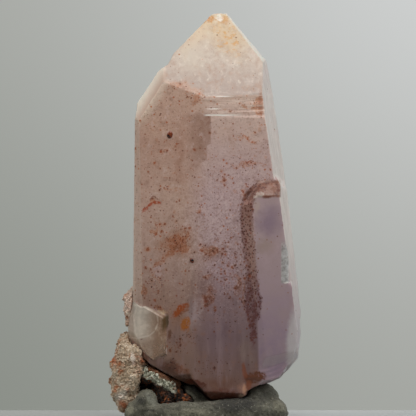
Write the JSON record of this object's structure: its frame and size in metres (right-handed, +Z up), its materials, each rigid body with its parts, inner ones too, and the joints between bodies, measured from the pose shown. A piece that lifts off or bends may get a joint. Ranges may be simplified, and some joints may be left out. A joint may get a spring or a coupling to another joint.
{
  "type": "enhydro skeletal amethyst point on a putty stand",
  "caption": "Natural amethyst point with stepped skeletal faces, smaller grown-in crystals and scraps of host rock, held upright in a kneaded lump of grey putty.",
  "frame": {"origin": "on the surface that the putty stands on, below the middle of the whole specimen", "axes": "+Z up along the crystal, -Y towards the viewer and the broad front face, +X to the viewer's right"},
  "size_m": [0.0365, 0.0284, 0.077],
  "materials": {
    "amethyst": "natural, frosted to satin, milky with clear zones and iron-oxide flecks",
    "sandy_crust": "natural rough sandy mineral crust",
    "iron_rock": "natural dark iron-stained rock with pale green lumps",
    "grey_putty": "matt kneaded modelling putty"
  },
  "bodies": {
    "root": {"amethyst_point": "amethyst", "matrix_crust": "sandy_crust", "matrix_rock": "iron_rock", "putty_base": "grey_putty"}
  },
  "joints": []
}
